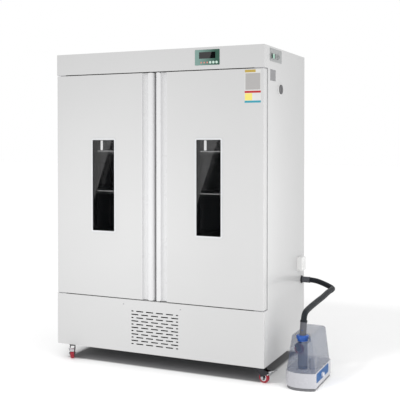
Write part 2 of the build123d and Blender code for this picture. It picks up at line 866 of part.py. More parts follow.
def socket_box():
    """Surface-mounted socket box with a raised face and its pin holes."""
    shell = side_plate(box_y, box_z, box_s, box_s, 6, half_w, half_w + box_t)
    shell = fillet(shell.edges().group_by(Axis.X)[-1], 3)
    for dy, dz, angle in ((-9, 12, 0), (9, 12, 0), (0, -6, 90), (-11, -16, 35), (11, -16, -35)):
        hole = Rot(angle, 0, 0) * Box(2 * pin_hole_depth, pin_hole_w, pin_hole_l)
        shell -= Pos(half_w + box_t, box_y + dy, box_z + dz) * hole
    return shell


def hose_inlet():
    """Black ring screwed to the wall, with the short pipe that the cuff slips over."""
    ring = rod((half_w, inlet_y, inlet_z), inlet_r, inlet_t, "X")
    ring = chamfer(ring.edges().group_by(Axis.X)[-1], 1.5)
    pipe_l = half_w - chamber_half + inlet_t + pipe_grip
    pipe = rod((chamber_half, inlet_y, inlet_z), pipe_r, pipe_l, "X")
    bore = rod((chamber_half - 1, inlet_y, inlet_z), pipe_r - pipe_wall, pipe_l + 2, "X")
    return ring + pipe - bore


def castor_names():
    """Each castor's name with the X and Y of its kingpin."""
    left, right = -half_w + castor_inset_left, half_w - castor_inset_right
    return {
        "front_left": (left, castor_y),
        "front_right": (right, castor_y),
        "rear_left": (-right, castor_back_y),
        "rear_right": (right, castor_back_y),
    }


def castor_plates():
    """Top plates bolted under the base frame, each with its kingpin."""
    solids = []
    for x, y in castor_names().values():
        z = body_z - castor_plate_t
        plate = block(x - castor_plate / 2, x + castor_plate / 2, y - castor_plate / 2 + 4,
                      y + castor_plate / 2 - 4, z, body_z)
        nut_z = z - castor_head_h - 2 * fit - 3
        plate += rod((x, y, nut_z), kingpin_r, z - nut_z + 1)
        plate += rod((x, y, nut_z), kingpin_r + 4, 3)
        solids.append(plate)
    return Compound(solids)


def castor_place(name):
    """The castor's own frame: origin under its kingpin on the floor, X along the way it trails."""
    x, y = castor_names()[name]
    return Pos(x, y, 0) * Rot(0, 0, castor_angles[name])


def castor_fork(name):
    """Swivel head and two bent legs that hold the axle."""
    head_z = head_top - castor_head_h
    head = rod((0, 0, head_z), castor_head_r, castor_head_h)
    head += block(0, castor_trail, -leg_y - fork_t, leg_y + fork_t, head_z, head_z + fork_t)
    head -= rod((0, 0, head_z - 1), kingpin_r + axle_fit, castor_head_h + 2)
    leg_top = head_z + fork_t
    outline = Polyline((-12, leg_top), (castor_trail + 6, leg_top), (castor_trail + 11, wheel_r),
                       (castor_trail + 6, wheel_r - 11), (castor_trail - 6, wheel_r - 11), close=True)
    leg = extrude(Plane.XZ * make_face(outline), fork_t)
    fork = head + Pos(0, -leg_y, 0) * leg + Pos(0, leg_y + fork_t, 0) * leg
    axle_l = 2 * (leg_y + fork_t)
    fork += rod((castor_trail, -axle_l / 2, wheel_r), wheel_bore_r, axle_l, "Y")
    for y in (-axle_l / 2 - 3, axle_l / 2):
        fork += rod((castor_trail, y, wheel_r), axle_head_r, 3, "Y")
    if name in braked:
        arm_outline = Polyline((0, leg_top), (brake_x, brake_z + brake_arm), (brake_x + brake_arm, brake_z),
                               (brake_x, brake_z - brake_arm), (castor_trail + 9, wheel_r + 10), close=True)
        arm = extrude(Plane.XZ * make_face(arm_outline), fork_t)
        fork += Pos(0, -leg_y, 0) * arm + Pos(0, leg_y + fork_t, 0) * arm
        fork += rod((brake_x, -axle_l / 2 - 2, brake_z), brake_pin_r, axle_l + 4, "Y")
    return castor_place(name) * fork


def castor_wheel(name):
    """Crowned tyre on a dished hub."""
    half = wheel_w / 2
    bore = wheel_bore_r + axle_fit
    side = [(bore, half), (boss_r, half), (boss_r + 1, half - dish), (wheel_hub_r, half - dish),
            (wheel_hub_r + 1, half - 0.5), (wheel_r - 3, half - 0.5), (wheel_r, half - 5)]
    section = Polyline(*side, *[(x, -y) for x, y in reversed(side)], close=True)
    wheel = revolve(Plane.XY * make_face(section), Axis.Y)
    return castor_place(name) * (Pos(castor_trail, 0, wheel_r) * wheel)


def castor_brake(name):
    """Foot pedal on a pin between the fork's rear arms, with a cam that swings down onto the tyre."""
    half = pedal_w / 2
    barrel_l = 2 * (leg_y - fit)
    neck_x = brake_x + brake_arm + 2
    slope = (pedal_top - brake_z) / (pedal_tip - brake_x)
    neck_z = brake_z + slope * (neck_x - brake_x)
    arm = Polyline((brake_x, brake_z), (brake_x, brake_z + brake_barrel_r), (neck_x, neck_z),
                   (neck_x, neck_z - pedal_t), (brake_x, brake_z - 1), close=True)
    pedal = Pos(0, barrel_l / 2, 0) * extrude(Plane.XZ * make_face(arm), barrel_l)
    plate = Polyline((neck_x - 1, neck_z - slope), (pedal_tip, pedal_top), (pedal_tip, pedal_top - pedal_t),
                     (neck_x - 1, neck_z - slope - pedal_t), close=True)
    pedal += Pos(0, half, 0) * extrude(Plane.XZ * make_face(plate), pedal_w)
    hole_x = (neck_x + pedal_tip) / 2
    pedal -= rod((hole_x, 0, brake_z), brake_hole_r, body_z)
    cam = Rot(0, -cam_angle, 0) * Pos(cam_l / 2, 0, 0) * Box(cam_l, barrel_l, cam_w)
    pedal += Pos(brake_x, 0, brake_z) * cam
    pedal += rod((brake_x, -barrel_l / 2, brake_z), brake_barrel_r, barrel_l, "Y")
    pedal -= rod((brake_x, -leg_y, brake_z), brake_pin_r + axle_fit, 2 * leg_y, "Y")
    return castor_place(name) * pedal


def humidifier_outline(inset, corner):
    """Plan of the humidifier: straight sides, rounded back corners and a bowed front."""
    x0, x1 = hum_x + inset, hum_x1 - inset
    y0, y1 = hum_y + inset, hum_y1 - inset
    nose_x = x0 + 0.45 * (x1 - x0)
    left, right = (x0, y0 + hum_bulge), (x1, y0 + hum_bulge / 2)
    lines = [
        TangentArc((nose_x, y0), left, tangent=(-1, 0)),
        TangentArc((nose_x, y0), right, tangent=(1, 0)),
        Line(right, (x1, y1)),
        Line((x1, y1), (x0, y1)),
        Line((x0, y1), left),
    ]
    plan = make_face(lines)
    return fillet(plan.vertices().group_by(Axis.Y)[-1], corner - inset)


def humidifier_base():
    """Dark foot ring and white base, with the upstand round the chimney and the float housing."""
    foot = extrude(humidifier_outline(hum_foot_inset, hum_corner), hum_foot_h)
    base = Pos(0, 0, hum_foot_h) * extrude(humidifier_outline(0, hum_corner), hum_base_h - hum_foot_h)
    top = hum_base_h - 1
    base += rod((chimney_x, chimney_y, top), chimney_r + upstand_w, upstand_h + 1)
    float_x, float_y = chimney_x + float_in[0], chimney_y + float_in[1]
    base += block(float_x, float_x + float_box[0], float_y, float_y + float_box[1], top, top + float_box[2])
    base += rod((chimney_x + water_cap_in[0], chimney_y + water_cap_in[1], top), water_cap_r, water_cap_h)
    base -= rod((chimney_x, chimney_y, top - spigot_h), chimney_r - chimney_wall, 2 * spigot_h + upstand_h)
    base -= side_plate(panel_y, panel_z, panel_l, panel_h, panel_corner, hum_x1 - panel_depth,
                       hum_x1 + panel_depth)
    return Compound([foot, base])


def nozzle_recess(radius, floor):
    """Round space about the nozzle, open at the top and towards the front."""
    space = rod((chimney_x, chimney_y, floor), radius, tank_h)
    return space + block(chimney_x - radius, chimney_x + radius, hum_y - radius, chimney_y, floor,
                         floor + tank_h)


def tank_body(skin, height, edge_r):
    """Tapered block with a rounded top, set in from the tank's outside by a skin."""
    inset = tank_inset + skin
    low = humidifier_outline(inset, tank_corner)
    high = humidifier_outline(inset + height * tan(radians(tank_taper)), tank_corner)
    body = Pos(0, 0, tank_z0) * loft([low, Pos(0, 0, height) * high])
    return fillet(body.edges().group_by(Axis.Z)[-1], edge_r)


def humidifier_tank():
    """Tapered see-through cover with the mist chimney inside and a recess for the nozzle, open in front."""
    outer = tank_body(0, tank_h, tank_edge_r)
    tank = outer - tank_body(tank_wall, tank_h - tank_wall, tank_edge_r - tank_wall)
    tank += outer & nozzle_recess(recess_r + tank_wall, chimney_z - tank_wall)
    tank -= nozzle_recess(recess_r, chimney_z)
    pipe_z = hum_base_h + upstand_h + fit
    tank += rod((chimney_x, chimney_y, pipe_z), chimney_r, chimney_z - pipe_z)
    return tank - rod((chimney_x, chimney_y, pipe_z - 1), chimney_r - chimney_wall, tank_h)


def nozzle_collar():
    """Blue eight-sided nozzle seated in the tank's recess, with the pipe that the lower cuff slips over."""
    skirt = rod((chimney_x, chimney_y, chimney_z), spigot_r, spigot_h)
    ring = extrude(RegularPolygon(collar_r, 8, rotation=22.5), collar_h)
    ring = chamfer(ring.edges().group_by(Axis.Z)[-1], collar_edge)
    ring = Pos(chimney_x, chimney_y, collar_z) * ring
    pipe = rod((chimney_x, chimney_y, collar_z), pipe_r, collar_h + pipe_grip)
    bore_l = spigot_h + collar_h + pipe_grip
    return skirt + ring + pipe - rod((chimney_x, chimney_y, chimney_z - 1), pipe_r - pipe_wall, bore_l + 2)


def humidifier_panel():
    """Blue control panel let into the right side of the base."""
    panel = side_plate(panel_y, panel_z, panel_l - fit, panel_h - fit, panel_corner, hum_x1 - panel_depth,
                       hum_x1 + panel_proud)
    return panel - rod((hum_x1 - panel_depth - 1, knob_y, knob_z), knob_shaft_r + axle_fit, 5, "X")


def humidifier_knob():
    """Output knob with a pointer groove, on a short shaft."""
    face = hum_x1 + panel_proud
    knob = rod((face + fit, knob_y, knob_z), knob_r, knob_h - fit, "X")
    knob = chamfer(knob.edges().group_by(Axis.X)[-1], 1.5)
    knob -= block(face + knob_h - 1.2, face + knob_h + 1, knob_y - 1, knob_y + 1, knob_z,
                  knob_z + knob_r + 1)
    return knob + rod((face + fit - panel_depth, knob_y, knob_z), knob_shaft_r, panel_depth + 1, "X")


def cuff_point(distance):
    """A point on the lower cuff's axis, so far above the nozzle."""
    turn = radians(lower_cuff_tilt)
    return chimney_x, chimney_y + distance * sin(turn), cuff_base_z + distance * cos(turn)


def hose_route():
    """The hose's corner points: straight out of the upper cuff, forward, and down into the lower cuff."""
    start = inlet_face + cuff_l
    reach = inlet_y - chimney_y
    return [
        (start, inlet_y, inlet_z),
        (start + hose_lead, inlet_y, inlet_z),
        *[(chimney_x + dx, inlet_y - share * reach, inlet_z - drop) for dx, share, drop in hose_bends],
        *[(chimney_x, chimney_y + dy, cuff_base_z + dz) for dy, dz in nozzle_bends],
        cuff_point(lower_cuff_l + hose_rise),
        cuff_point(lower_cuff_l),
    ]


def hose_radii(points):
    """The largest arc that each corner's two runs allow."""
    radii = []
    for before, here, after in zip(points, points[1:], points[2:]):
        run_in = Vector(*here) - Vector(*before)
        run_out = Vector(*after) - Vector(*here)
        half_turn = radians(run_in.get_angle(run_out)) / 2
        radii.append(0.45 * min(run_in.length, run_out.length) / tan(half_turn))
    return radii


def humidity_hose():
    """Smooth bend of hose from cuff to cuff."""
    route = hose_route()
    radii = hose_radii(route)
    path = FilletPolyline(*route, radius=radii)
    start = Plane(origin=path @ 0, z_dir=path % 0)
    tube = sweep(start * Circle(hose_r), path=path)
    print("hose radii", [round(r) for r in radii], "length", round(path.length),
          "volume ratio", round(tube.volume / (pi * hose_r ** 2 * path.length), 4))
    return tube


def hose_cuffs():
    """Rubber cuffs over the inlet pipe and, leaning back a little, over the nozzle's pipe."""
    bore_r, bore_l = pipe_r + cuff_bore_fit, pipe_grip + fit
    upper = rod((inlet_face, inlet_y, inlet_z), cuff_r, cuff_l, "X")
    upper -= rod((inlet_face - 1, inlet_y, inlet_z), bore_r, bore_l + 1, "X")
    lower = Rot(-lower_cuff_tilt, 0, 0) * rod((0, 0, -collar_h), cuff_r, lower_cuff_l + collar_h)
    lower = Pos(chimney_x, chimney_y, cuff_base_z) * lower
    lower -= block(chimney_x - collar_r, chimney_x + collar_r, chimney_y - collar_r, chimney_y + collar_r,
                   cuff_base_z - 2 * collar_h, cuff_base_z)
    lower -= rod((chimney_x, chimney_y, cuff_base_z - 1), bore_r, bore_l + 1)
    return Compound([upper, lower])


def compressor():
    """Welded can with a rounded top, on a foot plate and four rubber feet."""
    x, y, r = compressor_x, compressor_y, compressor_r
    plate_z = floor_z + foot_h
    can = rod((x, y, plate_z + foot_plate_t - 1), r, compressor_h - foot_h - foot_plate_t)
    can = fillet(can.edges().group_by(Axis.Z)[-1], 30)
    can += block(x - r, x + r, y - r, y + r, plate_z, plate_z + foot_plate_t)
    for dx in (foot_inset - r, r - foot_inset):
        for dy in (foot_inset - r, r - foot_inset):
            can += rod((x + dx, y + dy, floor_z), foot_r, foot_h + 1)
    return can


def condenser():
    """Finned block with end plates and a fan shroud, standing on the machine floor."""
    y0, y1 = condenser_y, condenser_y + condenser_d
    x0 = condenser_x - condenser_w / 2
    pitch = condenser_w / condenser_fins
    body = block(x0, x0 + condenser_w, y0, y1, floor_z, floor_z + strut_t)
    for share in (0.3, 0.55, 0.8):
        body += rod((x0, (y0 + y1) / 2, floor_z + share * condenser_h), 5, condenser_w, "X")
    for i in range(condenser_fins + 1):
        x = x0 + i * pitch
        body += block(x - 0.8, x + 0.8, y0, y1, floor_z, floor_z + condenser_h)
    return Compound([body, fan_motor()])


def fan_motor():
    """Motor behind the condenser fan, on a bracket from the machine floor."""
    y = condenser_y + condenser_d + fan_back + fan_t + fit
    z = floor_z + condenser_h / 2
    motor = rod((condenser_x, y, z), motor_r, motor_l, "Y")
    motor = chamfer(motor.edges().group_by(Axis.Y)[-1], 3)
    mid = y + motor_l / 2
    motor += block(condenser_x - strut_w / 2, condenser_x + strut_w / 2, mid - strut_t, mid + strut_t,
                   floor_z, z)
    motor += block(condenser_x - motor_r, condenser_x + motor_r, mid - motor_r, mid + motor_r, floor_z,
                   floor_z + strut_t)
    return motor - rod((condenser_x, y - 1, z), fan_shaft_r + axle_fit, fan_shaft_l + 2, "Y")


def write(name, shape):
    """Writes one sub-part, moved to the shared origin."""
    export_step(Pos(-origin_x, -origin_y, 0) * shape, "parts/" + name + ".step")


def fan(centre, radius):
    """Axial fan wheel with twisted blades on a hub and a shaft behind it, turning about Y."""
    x, y, z = centre
    wheel = rod((x, y, z), fan_hub_r, fan_t, "Y")
    blade_l = radius - fan_hub_r + 4
    for i in range(fan_blades):
        blade = Rot(blade_twist, 0, 0) * Box(blade_l, blade_t, blade_chord)
        blade = Pos(fan_hub_r + blade_l / 2 - 4, 0, 0) * blade
        wheel += Pos(x, y + fan_t / 2, z) * Rot(0, i * 360 / fan_blades, 0) * blade
    return wheel + rod((x, y + fan_t - 1, z), fan_shaft_r, fan_shaft_l + 1, "Y")


def circulation_fan():
    """Chamber fan behind the duct panel, its shaft in the motor on the liner's back."""
    return fan((0, duct_y + fan_back, fan_z), fan_r)


def condenser_fan():
    """Fan wheel behind the condenser, its shaft in the motor."""
    y = condenser_y + condenser_d + fan_back
    return fan((condenser_x, y, floor_z + condenser_h / 2), condenser_fan_r)


os.makedirs("parts", exist_ok=True)

write("left_side_panel", side_panel(-1))
write("right_side_panel", side_panel(1))
write("top_panel", top_panel())
write("rear_panel", rear_panel())
write("top_fascia", top_fascia())
write("plinth_panel", plinth_panel())
write("base_frame", base_frame())
write("chamber_liner", chamber_liner())
write("insulation_boards", insulation_boards())
write("front_frame", front_frame())
write("duct_panel", duct_panel())
write("evaporator_coil", evaporator_coil())
write("shelves", Compound([shelf(side, level) for side in (-1, 1) for level in shelf_levels]))
write("hinge_brackets", hinge_brackets())
write("controller_bezel", controller_bezel())
write("controller_board", controller_board())
write("display_screen", display_screen())
for index in (1, 2, 3):
    write("key_" + str(index), key(index))
write("switch_plate", switch_plate())
write("rocker_switch", rocker_switch())
write("port_sleeve", port_sleeve())
write("port_plug", port_plug())
write("socket_box", socket_box())
write("hose_inlet", hose_inlet())
write("compressor", compressor())
write("condenser", condenser())
write("condenser_fan", condenser_fan())
write("circulation_fan", circulation_fan())
write("castor_plates", castor_plates())
for castor in castor_names():
    write("castor_fork_" + castor, castor_fork(castor))
    write("castor_wheel_" + castor, castor_wheel(castor))
for castor in braked:
    write("castor_brake_" + castor, castor_brake(castor))
for side, word in ((-1, "left"), (1, "right")):
    write("door_shell_" + word, door_shell(side))
    write("door_liner_" + word, door_liner(side))
    write("door_gasket_" + word, door_gasket(side))
    write("window_frame_" + word, window_frame(side))
    write("window_glass_" + word, window_glass(side))
    write("handle_" + word, handle(side))
write("humidifier_base", humidifier_base())
write("humidifier_tank", humidifier_tank())
write("nozzle_collar", nozzle_collar())
write("humidifier_panel", humidifier_panel())
write("humidifier_knob", humidifier_knob())
write("humidity_hose", humidity_hose())
write("hose_cuffs", hose_cuffs())
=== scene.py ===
"""Looks of the humidity incubator: materials, fittings, hose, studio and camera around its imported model."""
import json
import math

import bmesh
import bpy
from mathutils import Matrix, Vector


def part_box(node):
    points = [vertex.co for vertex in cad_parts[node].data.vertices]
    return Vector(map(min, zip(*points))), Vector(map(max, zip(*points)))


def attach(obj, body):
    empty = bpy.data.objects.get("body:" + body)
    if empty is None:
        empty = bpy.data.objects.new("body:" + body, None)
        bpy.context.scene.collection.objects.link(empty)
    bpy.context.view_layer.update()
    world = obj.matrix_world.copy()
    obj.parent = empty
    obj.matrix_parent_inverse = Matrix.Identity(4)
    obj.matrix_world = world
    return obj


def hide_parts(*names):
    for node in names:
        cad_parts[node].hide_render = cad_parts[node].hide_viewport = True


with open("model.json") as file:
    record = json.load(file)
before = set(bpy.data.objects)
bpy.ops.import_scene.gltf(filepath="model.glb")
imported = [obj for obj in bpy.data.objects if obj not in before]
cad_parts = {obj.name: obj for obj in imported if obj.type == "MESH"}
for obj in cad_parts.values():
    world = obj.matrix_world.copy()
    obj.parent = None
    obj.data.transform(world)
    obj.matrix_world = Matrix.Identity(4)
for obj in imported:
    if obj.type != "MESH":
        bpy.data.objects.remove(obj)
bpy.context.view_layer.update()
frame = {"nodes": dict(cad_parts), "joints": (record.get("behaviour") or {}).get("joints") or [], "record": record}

# The cabinet's own frame, which the places below use: millimetres from its centre line, door faces and floor

MM = 0.001
LID_LOW, LID_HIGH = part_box("top_panel")
CENTRE_X = (LID_LOW.x + LID_HIGH.x) / 2
FRONT_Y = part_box("door_shell_right")[0].y
X, Y, Z = 0, 1, 2
CABINET = "cabinet"
CASTORS = ("front_left", "front_right", "rear_left", "rear_right")
SIDES = {"left": -1, "right": 1}


def at(x, y, z):
    """A point of the cabinet's own frame, in metres of the model's frame."""
    return Vector((CENTRE_X + x * MM, FRONT_Y + y * MM, z * MM))


# Materials

COAT_ROUGH, NOISE_ROUGH, BUMP_DETAIL = 0.08, 0.55, 2.0


class Finish:
    """A Principled material whose colour, roughness and bump come from procedural patterns in model space."""

    def __init__(self, name, color, rough, metal=0.0, spec=0.5, coat=0.0, alpha=1.0, ior=1.45):
        self.mat = bpy.data.materials.new(name)
        self.mat.use_nodes = True
        self.tree = self.mat.node_tree
        self.shader = self.tree.nodes["Principled BSDF"]
        self.color, self.rough = color, rough
        inputs = self.shader.inputs
        inputs["Base Color"].default_value = (*color, 1)
        inputs["Roughness"].default_value = rough
        inputs["Metallic"].default_value = metal
        inputs["Specular IOR Level"].default_value = spec
        inputs["Coat Weight"].default_value = coat
        inputs["Coat Roughness"].default_value = COAT_ROUGH
        inputs["IOR"].default_value = ior
        inputs["Alpha"].default_value = alpha
        self.place = self.node("ShaderNodeTexCoord").outputs["Object"]
        self.base, self.height = None, None

    def node(self, kind, **values):
        made = self.tree.nodes.new(kind)
        for key, value in values.items():
            if hasattr(made, key):
                setattr(made, key, value)
            else:
                made.inputs[key].default_value = value
        return made

    def link(self, source, target):
        self.tree.links.new(source, target)

    def stretched(self, scale):
        mapping = self.node("ShaderNodeMapping")
        mapping.inputs["Scale"].default_value = scale
        self.link(self.place, mapping.inputs["Vector"])
        return mapping.outputs["Vector"]

    def noise(self, scale, detail=3.0, stretch=None):
        made = self.node("ShaderNodeTexNoise", Scale=scale, Detail=detail, Roughness=NOISE_ROUGH)
        self.link(self.stretched(stretch) if stretch else self.place, made.inputs["Vector"])
        return made.outputs["Fac"]

    def ranged(self, source, low, high, from_low=0.3, from_high=0.7):
        made = self.node("ShaderNodeMapRange")
        limits = {"From Min": from_low, "From Max": from_high, "To Min": low, "To Max": high}
        for key, value in limits.items():
            made.inputs[key].default_value = value
        self.link(source, made.inputs["Value"])
        return made.outputs["Result"]

    def mixed(self, factor, first, second):
        made = self.node("ShaderNodeMix", data_type="RGBA")
        self.link(factor, made.inputs["Factor"])
        for socket, value in ((made.inputs[6], first), (made.inputs[7], second)):
            if isinstance(value, tuple):
                socket.default_value = (*value, 1)
            else:
                self.link(value, socket)
        return made.outputs[2]

    def vary(self, scale, amount, stretch=None):
        """Mottles the base colour between itself and a shade of it."""
        shaded = tuple(c * (1 - amount) for c in self.color)
        factor = self.ranged(self.noise(scale, stretch=stretch), 0.0, 1.0)
        self.paint(self.mixed(factor, self.color, shaded))
        return self

    def paint(self, source):
        self.base = source
        self.link(source, self.shader.inputs["Base Color"])

    def over(self, factor, color):
        """Lays another colour over the base where factor is one."""
        base = self.color if self.base is None else self.base
        self.paint(self.mixed(factor, base, color))
        return self

    def scuff(self, scale, spread, stretch=None):
        """Lets the roughness wander."""
        rough = self.ranged(self.noise(scale, stretch=stretch), self.rough - spread, self.rough + spread)
        self.link(rough, self.shader.inputs["Roughness"])
        return self

    def bump(self, scale, distance, strength, stretch=None):
        """Adds fine relief, on top of any there is."""
        made = self.node("ShaderNodeBump", Strength=strength, Distance=distance)
        self.link(self.noise(scale, BUMP_DETAIL, stretch), made.inputs["Height"])
        if self.height is not None:
            self.link(self.height, made.inputs["Normal"])
        self.height = made.outputs["Normal"]
        self.link(self.height, self.shader.inputs["Normal"])
        return self

    def glow(self, strength):
        """Lets the surface shine a little, white: painted light, on parts that are no lamp."""
        self.shader.inputs["Emission Color"].default_value = (1, 1, 1, 1)
        self.shader.inputs["Emission Strength"].default_value = strength
        return self

    def axis(self, index):
        """The place along one axis of the cabinet's own frame, in millimetres."""
        parts = self.node("ShaderNodeSeparateXYZ")
        self.link(self.place, parts.inputs["Vector"])
        return self.math("DIVIDE", self.math("SUBTRACT", parts.outputs[index], at(0, 0, 0)[index]), MM)

    def math(self, operation, first, second):
        made = self.node("ShaderNodeMath", operation=operation)
        for socket, value in ((made.inputs[0], first), (made.inputs[1], second)):
            if isinstance(value, (int, float)):
                socket.default_value = value
            else:
                self.link(value, socket)
        return made.outputs[0]

    def between(self, index, low, high):
        """One where the place along an axis lies between two values."""
        value = self.axis(index)
        above, below = self.math("GREATER_THAN", value, low), self.math("LESS_THAN", value, high)
        return self.math("MULTIPLY", above, below)


def powder_coat(name, color, rough=0.34):
    finish = Finish(name, color, rough, spec=0.5, coat=0.15)
    finish.vary(1.6, 0.02).scuff(14, 0.015)
    return finish.bump(750, 0.00012, 0.35).bump(3.0, 0.002, 0.05).mat


def moulded(name, color, rough, grain=1400, depth=0.00004, coat=0.1, shade=0.05, spec=0.5):
    finish = Finish(name, color, rough, spec=spec, coat=coat)
    return finish.vary(9, shade).scuff(40, 0.05).bump(grain, depth, 0.5).mat


def brushed(name, color, rough, stretch):
    finish = Finish(name, color, rough, metal=1.0)
    finish.vary(60, 0.12, stretch=stretch).scuff(90, 0.08, stretch=stretch)
    return finish.bump(260, 0.00003, 0.6, stretch=stretch).mat


def plated(name, color, rough=0.2):
    finish = Finish(name, color, rough, metal=1.0)
    return finish.vary(70, 0.15).scuff(160, 0.09).bump(500, 0.00005, 0.5).mat


WINDOW_DARK = (2, 55)
LAMP_Z = (1830, 1850)
BEZEL_FADE = (290, 400)
ROCKER_LIT_FROM = 139
FOOT_TOP = 16.8


def foam_board():
    return Finish("foam_board", (0.80, 0.76, 0.60), 0.9).vary(120, 0.1).bump(420, 0.0006, 0.8).mat


def hose_rubber():
    finish = Finish("hose_rubber", (0.008, 0.011, 0.015), 0.36, spec=0.28)
    return finish.vary(25, 0.35).scuff(60, 0.08).bump(900, 0.00005, 0.5).mat


def bezel_moulding():
    """Green, paler at its left end."""
    finish = Finish("bezel_green", (0.16, 0.27, 0.24), 0.22, coat=0.4)
    fade = finish.ranged(finish.axis(X), 0.0, 1.0, *BEZEL_FADE)
    return finish.over(fade, (0.012, 0.07, 0.045)).scuff(60, 0.04).bump(1500, 0.00003, 0.4).mat


def screen_and_lamps():
    """Black glass, with the row of lamps below it salmon."""
    finish = Finish("screen_and_lamps", (0.006, 0.006, 0.007), 0.02, spec=0.9)
    return finish.vary(6, 0.4).over(finish.between(Z, *LAMP_Z), (0.62, 0.22, 0.17)).scuff(60, 0.01).mat


def rocker_moulding():
    """Dark green with a lit half."""
    finish = Finish("rocker_green", (0.004, 0.035, 0.022), 0.2, coat=0.4)
    lit = finish.math("GREATER_THAN", finish.axis(Y), ROCKER_LIT_FROM)
    return finish.over(lit, (0.30, 0.62, 0.46)).scuff(80, 0.05).bump(1200, 0.00003, 0.4).mat


def humidifier_base():
    """White, with a grey foot."""
    finish = Finish("base_white", (0.44, 0.44, 0.47), 0.25, coat=0.15)
    foot = finish.math("LESS_THAN", finish.axis(Z), FOOT_TOP)
    return finish.vary(7, 0.04).over(foot, (0.13, 0.13, 0.14)).scuff(30, 0.05).bump(1100, 0.00004, 0.5).mat


def window_surround():
    """A white rim, black where it runs back into the door."""
    finish = Finish("window_frame", (0.58, 0.59, 0.60), 0.35)
    finish.vary(9, 0.05).over(finish.between(Y, *WINDOW_DARK), (0.012, 0.012, 0.013))
    return finish.scuff(40, 0.05).bump(1400, 0.00004, 0.5).mat


def smoked_glass():
    finish = Finish("smoked_glass", (0.003, 0.0035, 0.004), 0.0, spec=1.0, alpha=0.30, ior=1.62)
    return finish.vary(2, 0.3).bump(2.2, 0.0002, 0.02).mat


def tank_plastic():
    finish = Finish("tank_blue", (0.055, 0.085, 0.16), 0.1, spec=0.4, alpha=0.22)
    return finish.vary(5, 0.12).scuff(30, 0.05).bump(18, 0.0004, 0.1).mat


MATERIALS = {
    "white_paint": powder_coat("white_powder_coat", (0.52, 0.52, 0.52)),
    # The handle paint is the white powder coat made paler: a painted highlight for the light its ridges catch
    "handle_paint": powder_coat("handle_paint", (0.60, 0.60, 0.605), 0.28),
    "frame_paint": powder_coat("dark_frame_paint", (0.06, 0.062, 0.066), 0.5),
    "stainless": brushed("stainless_sheet", (0.62, 0.62, 0.63), 0.32, (1.0, 1.0, 30.0)),
    "foam": foam_board(),
    "inner_plastic": moulded("inner_plastic", (0.78, 0.785, 0.79), 0.42),
    "gasket_rubber": moulded("pale_gasket", (0.70, 0.70, 0.69), 0.6, grain=900, depth=0.0001, coat=0.0),
    "window_plastic": window_surround(),
    "window_glass": smoked_glass(),
    "bezel_green": bezel_moulding(),
    "board_green": moulded("circuit_board", (0.02, 0.09, 0.05), 0.5),
    "screen_black": screen_and_lamps(),
    "key_mint": moulded("key_cap", (0.52, 0.66, 0.58), 0.25),
    "plate_grey": moulded("control_plate", (0.30, 0.31, 0.31), 0.38, grain=1800, depth=0.00005),
    "rocker_green": rocker_moulding(),
    "black_plastic": moulded("black_plastic", (0.010, 0.010, 0.011), 0.4, coat=0.0, shade=0.3, spec=0.15),
    "port_white": moulded("white_moulding", (0.78, 0.78, 0.77), 0.25),
    "plug_rubber": moulded("grey_rubber_plug", (0.12, 0.12, 0.125), 0.55, grain=700, depth=0.0001, coat=0.0,
                           shade=0.15),
    "zinc": plated("bright_zinc", (0.66, 0.66, 0.68)),
    "red_tyre": moulded("red_tread", (0.30, 0.008, 0.022), 0.32, grain=900, depth=0.00008, shade=0.2),
    "compressor_black": powder_coat("compressor_paint", (0.012, 0.012, 0.014), 0.3),
    "fin_aluminium": brushed("fin_aluminium", (0.60, 0.61, 0.62), 0.35, (40.0, 1.0, 1.0)),
    "base_white": humidifier_base(),
    "tank_blue": tank_plastic(),
    "nozzle_blue": moulded("nozzle_blue", (0.012, 0.075, 0.33), 0.25, coat=0.1),
    "panel_blue": moulded("panel_blue", (0.02, 0.095, 0.27), 0.4, coat=0.0, shade=0.1, spec=0.12),
    "knob_white": moulded("knob_white", (0.60, 0.61, 0.66), 0.25, coat=0.2),
    "hose_grey": hose_rubber(),
    "cuff_grey": moulded("cuff_rubber", (0.075, 0.078, 0.09), 0.42, grain=800, depth=0.00008, coat=0.05,
                         shade=0.2),
}
BLACKENED = plated("blackened_steel", (0.05, 0.05, 0.055), 0.35)
FORKS = ["castor_fork_" + name for name in CASTORS]

for part in frame["record"]["subparts"]:
    node = frame["nodes"][part["node"]]
    node.data.materials.clear()
    node.data.materials.append(BLACKENED if part["node"] in FORKS else MATERIALS[part["material_slot"]])

# Mesh helpers


def piece(name, bm, material, body, smooth=30):
    """Turns a bmesh into a named piece that rides on a body, with edges over smooth degrees left sharp."""
    bmesh.ops.recalc_face_normals(bm, faces=bm.faces)
    mesh = bpy.data.meshes.new(name)
    bm.to_mesh(mesh)
    bm.free()
    mesh.materials.append(material)
    obj = bpy.data.objects.new(name, mesh)
    bpy.context.scene.collection.objects.link(obj)
    mesh.shade_smooth()
    mesh.set_sharp_from_angle(angle=math.radians(smooth))
    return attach(obj, body)


def frame_at(place, normal, up=(0, 0, 1)):
    """A matrix whose local Z is the normal and local Y is as near up as can be."""
    z = Vector(normal).normalized()
    y = (Vector(up) - z * Vector(up).dot(z)).normalized()
    turn = Matrix((y.cross(z), y, z)).transposed().to_4x4()
    return Matrix.Translation(place) @ turn


def lathe(bm, profile, matrix, segments):
    """Revolves (radius, height) points, in millimetres, about the matrix's Z. Only the last may lie on it."""
    rings = []
    for radius, height in profile:
        if radius == 0:
            rings.append([bm.verts.new(matrix @ Vector((0, 0, height * MM)))])
            continue
        ring = []
        for i in range(segments):
            angle = 2 * math.pi * i / segments
            spot = Vector((radius * math.cos(angle), radius * math.sin(angle), height)) * MM
            ring.append(bm.verts.new(matrix @ spot))
        rings.append(ring)
    for low, high in zip(rings, rings[1:]):
        for i in range(segments):
            j = (i + 1) % segments
            if len(high) == 1:
                bm.faces.new((low[i], low[j], high[0]))
            else:
                bm.faces.new((low[i], low[j], high[j], high[i]))


